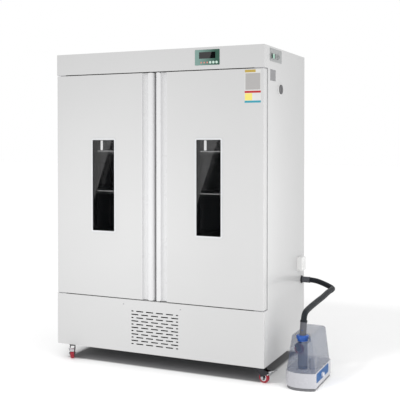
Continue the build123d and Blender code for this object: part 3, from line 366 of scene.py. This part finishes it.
def rounded(width, height, corner, steps=5):
    """Points of a rounded rectangle in millimetres."""
    points = []
    for sx, sy, start in ((1, 1, 0), (-1, 1, 90), (-1, -1, 180), (1, -1, 270)):
        cx, cy = sx * (width / 2 - corner), sy * (height / 2 - corner)
        for i in range(steps + 1):
            angle = math.radians(start + 90 * i / steps)
            points.append((cx + corner * math.cos(angle), cy + corner * math.sin(angle)))
    return points


SMALLEST_CORNER = 0.05


def slab(bm, width, height, thick, matrix, corner, bevel):
    """A thin rounded plate whose back lies on the matrix's XY plane."""
    layers = ((0, 0), (thick - bevel, 0), (thick, bevel))
    rings = []
    for level, inset in layers:
        outline = rounded(width - 2 * inset, height - 2 * inset, max(corner - inset, SMALLEST_CORNER))
        rings.append([bm.verts.new(matrix @ (Vector((x, y, level)) * MM)) for x, y in outline])
    count = len(rings[0])
    for low, high in zip(rings, rings[1:]):
        for i in range(count):
            j = (i + 1) % count
            bm.faces.new((low[i], low[j], high[j], high[i]))
    bm.faces.new(rings[-1])
    bm.faces.new(list(reversed(rings[0])))


SCREW_PROFILE = ((1, 0), (1, 0.35), (0.8, 0.62), (0.45, 0.72), (0.42, 0.3), (0, 0.3))
SCREW_BAR_L, SCREW_BAR_W, SCREW_BAR_H, SCREW_BAR_UP, SCREW_BAR_BEVEL = 0.78, 0.2, 0.3, 0.28, 0.02


def screw(bm, place, normal, radius, turn=20.0):
    """A pan-head screw with a cross in its recess, its proportions given as shares of its radius."""
    matrix = frame_at(place, normal) @ Matrix.Rotation(math.radians(turn), 4, "Z")
    lathe(bm, [(across * radius, up * radius) for across, up in SCREW_PROFILE], matrix, segments=18)
    lifted = Matrix.Translation((0, 0, SCREW_BAR_UP * radius * MM))
    for angle in (0, 90):
        bar = matrix @ Matrix.Rotation(math.radians(angle), 4, "Z") @ lifted
        slab(bm, SCREW_BAR_L * radius, SCREW_BAR_W * radius, SCREW_BAR_H * radius, bar,
             corner=SMALLEST_CORNER, bevel=SCREW_BAR_BEVEL)


WASHER_R, WASHER_HOLE_R, WASHER_H = 0.72, 0.4, 1.0
HEAD_FROM, CROWN_R, CROWN_H = 0.9, 0.86, 0.8


def hexagon_bolt(bm, place, normal, across, height):
    """A hexagon head with a chamfered crown on a washer, its radii given as shares of its width."""
    matrix = frame_at(place, normal)
    outer, inner = across * WASHER_R, across * WASHER_HOLE_R
    lathe(bm, [(outer, 0), (outer, WASHER_H), (inner, WASHER_H)], matrix, segments=28)
    radius = across / math.sqrt(3)
    head = [(radius, HEAD_FROM), (radius, height - CROWN_H), (radius * CROWN_R, height), (0, height)]
    lathe(bm, head, matrix, segments=6)


# Humidity hose

HOSE_R = 17.0
CUFF_L, LOWER_CUFF_L = 52.0, 80.0
INLET = (706.0, 724.0, 484.0)
NOZZLE_TOP = (912.0, 52.0, 294.0)
LEAN = math.radians(14.0)


def cuff_axis(distance):
    """A point on the lower cuff's axis, in millimetres above the nozzle."""
    x, y, z = NOZZLE_TOP
    return x, y + distance * math.sin(LEAN), z + distance * math.cos(LEAN)


HOSE_ROUTE = [
    (758, 724, 484),
    (792, 724, 484),
    (856, 718, 466),
    (912, 698, 447),
    (924, 655, 447),
    (920, 562, 446),
    (924, 446, 440),
    (918, 318, 432),
    (914, 212, 424),
    (912, 140, 417),
    (912, 104, 412),
    (912, 87, 402.5),
    cuff_axis(LOWER_CUFF_L + 18),
    cuff_axis(LOWER_CUFF_L),
]


def nurbs_points(route, resolution):
    """Points along the smooth NURBS line with the route's points as its control points."""
    curve = bpy.data.curves.new("hose_line", "CURVE")
    curve.dimensions = "3D"
    spline = curve.splines.new("NURBS")
    spline.points.add(len(route) - 1)
    for point, (x, y, z) in zip(spline.points, route):
        point.co = (*at(x, y, z), 1)
    spline.order_u = 3
    spline.use_endpoint_u = True
    spline.resolution_u = resolution
    holder = bpy.data.objects.new("hose_line", curve)
    bpy.context.scene.collection.objects.link(holder)
    bpy.context.view_layer.update()
    mesh = bpy.data.meshes.new_from_object(holder)
    points = [v.co.copy() for v in mesh.vertices]
    bpy.data.objects.remove(holder)
    bpy.data.meshes.remove(mesh)
    return points


SHORTEST_SPAN = 1e-9


def resample(points, step):
    """The same line with evenly spaced points."""
    lengths = [0.0]
    for a, b in zip(points, points[1:]):
        lengths.append(lengths[-1] + (b - a).length)
    count = max(2, round(lengths[-1] / step))
    out, index = [], 0
    for i in range(count + 1):
        goal = lengths[-1] * i / count
        while index < len(points) - 2 and lengths[index + 1] < goal:
            index += 1
        span = lengths[index + 1] - lengths[index]
        out.append(points[index].lerp(points[index + 1], (goal - lengths[index]) / max(span, SHORTEST_SPAN)))
    return out


def tube(bm, points, radius_at, segments=24):
    """A capped tube along points, with its radius given for each point, in metres."""
    rings, side = [], None
    for i, point in enumerate(points):
        ahead = (points[min(i + 1, len(points) - 1)] - points[max(i - 1, 0)]).normalized()
        side = side or ahead.orthogonal()
        side = (side - ahead * side.dot(ahead)).normalized()
        other = ahead.cross(side)
        radius = radius_at(i)
        ring = []
        for k in range(segments):
            angle = 2 * math.pi * k / segments
            ring.append(bm.verts.new(point + (side * math.cos(angle) + other * math.sin(angle)) * radius))
        rings.append(ring)
    for low, high in zip(rings, rings[1:]):
        for k in range(segments):
            j = (k + 1) % segments
            bm.faces.new((low[k], low[j], high[j], high[k]))
    bm.faces.new(rings[-1])
    bm.faces.new(list(reversed(rings[0])))


RIB_PITCH, RIB_DEPTH, RIB_STEPS, ROUTE_RESOLUTION = 5.0, 0.7, 4, 24
LOWER_RIM_BACK, UPPER_RIM_BACK = 7.0, 5.0
LOWER_RIM = [(18.6, -5), (20.2, -4.4), (20.8, -2.5), (19.8, -1), (20.8, 0.8), (20.8, 3), (19.8, 4.4),
             (20.6, 6), (20.0, 8.5), (18.2, 9.2), (16.6, 9.2)]
UPPER_RIM = [(18.9, 0), (20.0, 0.6), (20.3, 2.0), (20.0, 3.4), (18.9, 4.0)]


def rib_radius(step):
    """The hose's radius at a step of its path, in metres."""
    wave = 0.5 - 0.5 * math.cos(2 * math.pi * step / RIB_STEPS)
    return (HOSE_R - RIB_DEPTH * wave) * MM


hose_path = resample(nurbs_points(HOSE_ROUTE, ROUTE_RESOLUTION), RIB_PITCH / RIB_STEPS * MM)
hose_bm = bmesh.new()
tube(hose_bm, hose_path, rib_radius)
hose = piece("humidity_hose_ribbed", hose_bm, MATERIALS["hose_grey"], CABINET, smooth=80)
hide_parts("humidity_hose")

lower_bm = bmesh.new()
lower_at = at(*cuff_axis(LOWER_CUFF_L - LOWER_RIM_BACK))
lower_aim = at(*cuff_axis(LOWER_CUFF_L)) - lower_at
lathe(lower_bm, LOWER_RIM, frame_at(lower_at, lower_aim, (1, 0, 0)), segments=40)
lower_rim = piece("hose_collar_lower", lower_bm, MATERIALS["hose_grey"], CABINET, smooth=40)

upper_bm = bmesh.new()
upper_at = at(INLET[X] + CUFF_L - UPPER_RIM_BACK, INLET[Y], INLET[Z])
lathe(upper_bm, UPPER_RIM, frame_at(upper_at, (1, 0, 0)), segments=40)
upper_rim = piece("hose_collar_upper", upper_bm, MATERIALS["cuff_grey"], CABINET, smooth=40)

# Cabinet fittings

CARD_X, CARD_Z, CARD_W, CARD_H, CARD_T = 630, 1694, 98, 190, 0.5
CARD_FIELDS = [
    ((583, 648), (1773, 1788), (0.42, 0.30, 0.06)),
    ((586, 676), (1674, 1768), (0.36, 0.35, 0.345)),
    ((581, 679), (1656, 1668), (0.42, 0.02, 0.02)),
    ((583, 627), (1614, 1654), (0.72, 0.62, 0.16)),
    ((581, 679), (1600, 1612), (0.03, 0.27, 0.36)),
]
WALL_X, RATING_Y, RATING_Z, RATING_W, RATING_H, RATING_T = 700, 148, 1764.5, 94, 65, 0.6
RATING_SCREW_Y, RATING_SCREW_Z, RATING_SCREW_R = 42, 28, 1.8
PLINTH_SCREWS, PLINTH_SCREW_R = ((-213, 382, 15), (175, 380, 50)), 4.0
PLATE_FACE, PLATE_SCREWS = 702, ((103, 1853, 10), (294, 1853, 40), (103, 1911, 75), (294, 1911, 30))
BOX_FACE, BOX_SCREWS_Y, BOX_SCREW_Z, SMALL_SCREW_R = 732.2, (640, 696), 596, 2.6
FORWARD, RIGHTWARD = (0, -1, 0), (1, 0, 0)


def blank_card():
    """Plain colour fields in the place of the door's sticker."""
    bm = bmesh.new()
    slab(bm, CARD_W, CARD_H, CARD_T, frame_at(at(CARD_X, 0, CARD_Z), FORWARD), corner=2, bevel=0.1)
    finish = Finish("blank_card", (0.60, 0.60, 0.59), 0.5).vary(30, 0.06)
    for across, up, color in CARD_FIELDS:
        finish.over(finish.math("MULTIPLY", finish.between(X, *across), finish.between(Z, *up)), color)
    piece("blank_card", bm, finish.bump(900, 0.00002, 0.4).mat, "right_door")


def bare_rating_plate():
    """A bare metal plate with a screw at each corner."""
    bm = bmesh.new()
    middle = at(WALL_X, RATING_Y, RATING_Z)
    slab(bm, RATING_W, RATING_H, RATING_T, frame_at(middle, RIGHTWARD), corner=1.5, bevel=0.15)
    for y in (RATING_Y - RATING_SCREW_Y, RATING_Y + RATING_SCREW_Y):
        for z in (RATING_Z - RATING_SCREW_Z, RATING_Z + RATING_SCREW_Z):
            screw(bm, at(WALL_X + RATING_T, y, z), RIGHTWARD, RATING_SCREW_R)
    metal = brushed("plate_aluminium", (0.34, 0.34, 0.35), 0.4, (1, 30, 1))
    piece("bare_rating_plate", bm, metal, CABINET)


def case_screws():
    """The screws seen in the plinth, the switch plate and the socket box, each turned its own way."""
    bm = bmesh.new()
    for x, z, turn in PLINTH_SCREWS:
        screw(bm, at(x, 0, z), FORWARD, PLINTH_SCREW_R, turn)
    for y, z, turn in PLATE_SCREWS:
        screw(bm, at(PLATE_FACE, y, z), RIGHTWARD, SMALL_SCREW_R, turn)
    for y in BOX_SCREWS_Y:
        screw(bm, at(BOX_FACE, y, BOX_SCREW_Z), RIGHTWARD, SMALL_SCREW_R, y)
    piece("case_screws", bm, MATERIALS["zinc"], CABINET)


blank_card()
bare_rating_plate()
case_screws()

WINDOW_X, WINDOW_Z, WINDOW_W, WINDOW_H = 356, 1108, 156, 564
STRIP_LEFT, STRIP_Y, STRIP_Z, STRIP_W, STRIP_H, STRIP_T = 42, 49, 1357, 16, 60, 0.6


def painted_glow_strip(word, side):
    """The short strip behind the top of a window, made bright by a painted glow."""
    bm = bmesh.new()
    middle = at(side * WINDOW_X - STRIP_LEFT, STRIP_Y, STRIP_Z)
    slab(bm, STRIP_W, STRIP_H, STRIP_T, frame_at(middle, FORWARD), corner=2, bevel=0.1)
    finish = Finish("painted_glow_strip_" + word, (0.85, 0.86, 0.86), 0.4).glow(1.0)
    finish.vary(40, 0.05).bump(600, 0.00003, 0.4)
    piece("painted_glow_strip_" + word, bm, finish.mat, word + "_door")


for word, side in SIDES.items():
    painted_glow_strip(word, side)

SHELF_W, SHELF_LEVELS = 624.0, (538.0, 790.1, 1072.0, 1324.1)
EDGE_H, EDGE_T, EDGE_IN, EDGE_DOWN = 6.0, 0.6, 8.0, 1.0


def painted_shelf_highlights():
    """A painted highlight along the front of each shelf: a thin pale strip that glows."""
    low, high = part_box("shelves")
    bm = bmesh.new()
    for middle_x in (low.x + SHELF_W / 2 * MM, high.x - SHELF_W / 2 * MM):
        for level in SHELF_LEVELS:
            middle = Vector((middle_x, low.y, (level - EDGE_H / 2 - EDGE_DOWN) * MM))
            slab(bm, SHELF_W - 2 * EDGE_IN, EDGE_H, EDGE_T, frame_at(middle, FORWARD), corner=1, bevel=0.1)
    finish = Finish("painted_shelf_highlight", (0.75, 0.76, 0.77), 0.35).glow(0.7)
    finish.vary(40, 0.08).scuff(60, 0.05).bump(600, 0.00003, 0.4)
    piece("painted_shelf_highlights", bm, finish.mat, CABINET)


painted_shelf_highlights()

# Castors

TREAD = [(21.5, -10.8), (22.5, -11.8), (27.5, -11.8), (29.6, -10.8), (30.8, -8.6), (31.4, -4.5), (31.5, 0),
         (31.4, 4.5), (30.8, 8.6), (29.6, 10.8), (27.5, 11.8), (22.5, 11.8), (21.5, 10.8), (21.5, -10.8)]
HUB = [(5.05, -12), (9.5, -12), (10.2, -11.4), (10.6, -9.4), (13.5, -9.0), (14.2, -9.8), (20.2, -10.6),
       (21.4, -10.2), (21.4, 10.2), (20.2, 10.6), (14.2, 9.8), (13.5, 9.0), (10.6, 9.4), (10.2, 11.4),
       (9.5, 12), (5.05, 12), (5.05, -12)]
HUB_CAP = [(5.1, 9.2), (13.2, 9.2), (13.2, 9.9), (5.1, 9.9), (5.1, 9.2)]
BOLT_OUT, BOLT_ACROSS, BOLT_H = 19.0, 10.0, 4.5


def castor(name):
    """Tread, hub, hub caps and axle bolts, placed by the record's joint of the wheel."""
    joint = next(j for j in frame["joints"] if j["name"] == name + "_roll")
    place, axle = Vector(joint["pos_m"]), Vector(joint["axis"])
    wheel, fork = "castor_wheel_" + name, "castor_fork_" + name
    tread_bm, hub_bm, cap_bm, bolt_bm = (bmesh.new() for _ in range(4))
    lathe(tread_bm, TREAD, frame_at(place, axle), segments=56)
    lathe(hub_bm, HUB, frame_at(place, axle), segments=48)
    for way in (-axle, axle):
        lathe(cap_bm, HUB_CAP, frame_at(place, way), segments=40)
        hexagon_bolt(bolt_bm, place + way * BOLT_OUT * MM, way, BOLT_ACROSS, BOLT_H)
    tread = piece("tread_" + name, tread_bm, MATERIALS["red_tyre"], wheel, smooth=40)
    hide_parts(wheel)
    piece("hub_" + name, hub_bm, MATERIALS["zinc"], wheel, smooth=35)
    piece("hub_cap_" + name, cap_bm, BLACKENED, wheel, smooth=35)
    piece("axle_bolts_" + name, bolt_bm, MATERIALS["zinc"], fork)


for name in CASTORS:
    castor(name)

# Studio

CAMERA_AT = Vector((2171.8, -4137.6, 1372.0))
FLOOR_REACH = 40.0
SQUARE = ((-1, -1), (1, -1), (1, 1), (-1, 1))
# Where the floor's painted shadow lies under the cabinet, and how soft its edges are, in millimetres
SHADE, SHADE_SOFT = {X: (-640, 670), Y: (30, 740)}, 12


def flat(name, corners, material):
    """One flat polygon of the studio, its corners in metres."""
    bm = bmesh.new()
    bm.faces.new([bm.verts.new(corner) for corner in corners])
    mesh = bpy.data.meshes.new(name)
    bm.to_mesh(mesh)
    bm.free()
    mesh.materials.append(material)
    obj = bpy.data.objects.new(name, mesh)
    bpy.context.scene.collection.objects.link(obj)
    return obj


def white_floor():
    """White, with the flat dark patch under the cabinet that the photograph has: a painted shadow."""
    finish = Finish("floor_white", (0.95, 0.95, 0.95), 0.8, spec=0.1).vary(3, 0.01)
    ramps = []
    for index, (low, high) in SHADE.items():
        place = finish.axis(index)
        ramps.append(finish.ranged(place, 0, 1, low - SHADE_SOFT, low + SHADE_SOFT))
        ramps.append(finish.ranged(place, 1, 0, high - SHADE_SOFT, high + SHADE_SOFT))
    shade = ramps[0]
    for ramp in ramps[1:]:
        shade = finish.math("MULTIPLY", shade, ramp)
    return finish.over(shade, (0.24, 0.24, 0.245)).mat


floor = flat("floor", [(x * FLOOR_REACH, y * FLOOR_REACH, 0) for x, y in SQUARE], white_floor())
floor.visible_diffuse = False

world = bpy.data.worlds.new("studio")
bpy.context.scene.world = world
world.use_nodes = True
background = world.node_tree.nodes["Background"].inputs
background["Color"].default_value = (1, 1, 1, 1)
background["Strength"].default_value = 1.0


def area_light(name, place, target, size, size_y, power, mirrored=False):
    """A soft light, mirrored in glossy surfaces only where it is asked for."""
    light = bpy.data.lights.new(name, "AREA")
    light.shape = "RECTANGLE"
    light.size, light.size_y = size, size_y
    light.energy = power
    obj = bpy.data.objects.new(name, light)
    bpy.context.scene.collection.objects.link(obj)
    obj.location = place
    obj.rotation_euler = (target - place).to_track_quat("-Z", "Y").to_euler()
    obj.visible_glossy = mirrored
    obj.visible_camera = False


SUN_POWER, SUN_ANGLE, SUN_WAY = 0.40, 6.0, Vector((0.34, 0.60, -0.72))
sun = bpy.data.lights.new("key_sun", "SUN")
sun.energy, sun.angle = SUN_POWER, math.radians(SUN_ANGLE)
sun_obj = bpy.data.objects.new("key_sun", sun)
bpy.context.scene.collection.objects.link(sun_obj)
sun_obj.rotation_euler = SUN_WAY.to_track_quat("-Z", "Y").to_euler()

area_light("side_fill", at(1900, -550, 800), at(700, 100, 800), size=1.0, size_y=1.2, power=6)
area_light("corner_fill", at(1250, -100, 950), at(700, -100, 950), size=0.3, size_y=1.8, power=2.2)
area_light("front_fill", at(-300, -1250, 900), at(-300, 0, 900), size=0.8, size_y=0.8, power=7.7)
GLOW_TOP, GLOW_AIM = (72, 1740), (110, 500)
for side in SIDES.values():
    place, target = at(side * WINDOW_X, *GLOW_TOP), at(side * WINDOW_X, *GLOW_AIM)
    area_light("chamber_glow_" + str(side), place, target, size=0.4, size_y=0.06, power=0.6, mirrored=True)

BAY_X, BAY_Y, BAY_Z = 560, (70, 690), 84
bay_corners = [at(x * BAY_X, BAY_Y[0] if y < 0 else BAY_Y[1], BAY_Z) for x, y in SQUARE]
bay_card = flat("bay_card", bay_corners, MATERIALS["frame_paint"])
bay_card.visible_camera = False

DARK_CARD_AHEAD = 1500.0
CARD_BLACK = Finish("card_black", (0.004, 0.004, 0.004), 0.9, spec=0.0).vary(3, 0.2).mat


def dark_card(name, corners):
    """A black card ahead of the doors, seen only in reflections, that darkens an outline on the front."""
    reach = (DARK_CARD_AHEAD - CAMERA_AT.y) / -CAMERA_AT.y
    placed = []
    for x, z in corners:
        mirrored_x = CAMERA_AT.x + (x - CAMERA_AT.x) * reach
        mirrored_z = CAMERA_AT.z + (z - CAMERA_AT.z) * reach
        placed.append(at(mirrored_x, -DARK_CARD_AHEAD, mirrored_z))
    card = flat(name, placed, CARD_BLACK)
    card.visible_camera = False
    card.visible_diffuse = False
    card.visible_shadow = False
    card.visible_transmission = False


BEYOND_LEFT, BEYOND_RIGHT, BEYOND_ENDS = 8, 40, 30
SLANT_ACROSS, SLANT_DOWN = 0.98, 0.78
SCREEN_OUTLINE = ((363, 1860), (418, 1860), (418, 1904), (376, 1904))
for side in SIDES.values():
    left = side * WINDOW_X - WINDOW_W / 2 - BEYOND_LEFT
    right = side * WINDOW_X + WINDOW_W / 2 + BEYOND_RIGHT
    low, top = WINDOW_Z - WINDOW_H / 2 - BEYOND_ENDS, WINDOW_Z + WINDOW_H / 2 + BEYOND_ENDS
    slant = [(left + WINDOW_W * SLANT_ACROSS, top), (left, top - WINDOW_H * SLANT_DOWN)]
    dark_card("dark_card_" + str(side), [(left, low), (right, low), (right, top)] + slant)
dark_card("dark_card_screen", SCREEN_OUTLINE)

# Camera

LENS, SHIFT_Y, PITCH, HEADING = 69.78, -0.109, 89.0, 24.32
camera = bpy.data.cameras.new("camera")
camera.sensor_width = 36.0
camera.lens, camera.shift_y = LENS, SHIFT_Y
camera_obj = bpy.data.objects.new("camera", camera)
bpy.context.scene.collection.objects.link(camera_obj)
camera_obj.location = at(*CAMERA_AT)
camera_obj.rotation_euler = (math.radians(PITCH), 0, math.radians(HEADING))
bpy.context.scene.camera = camera_obj
bpy.context.scene.view_settings.view_transform = "Standard"
bpy.context.scene.view_settings.look = "None"
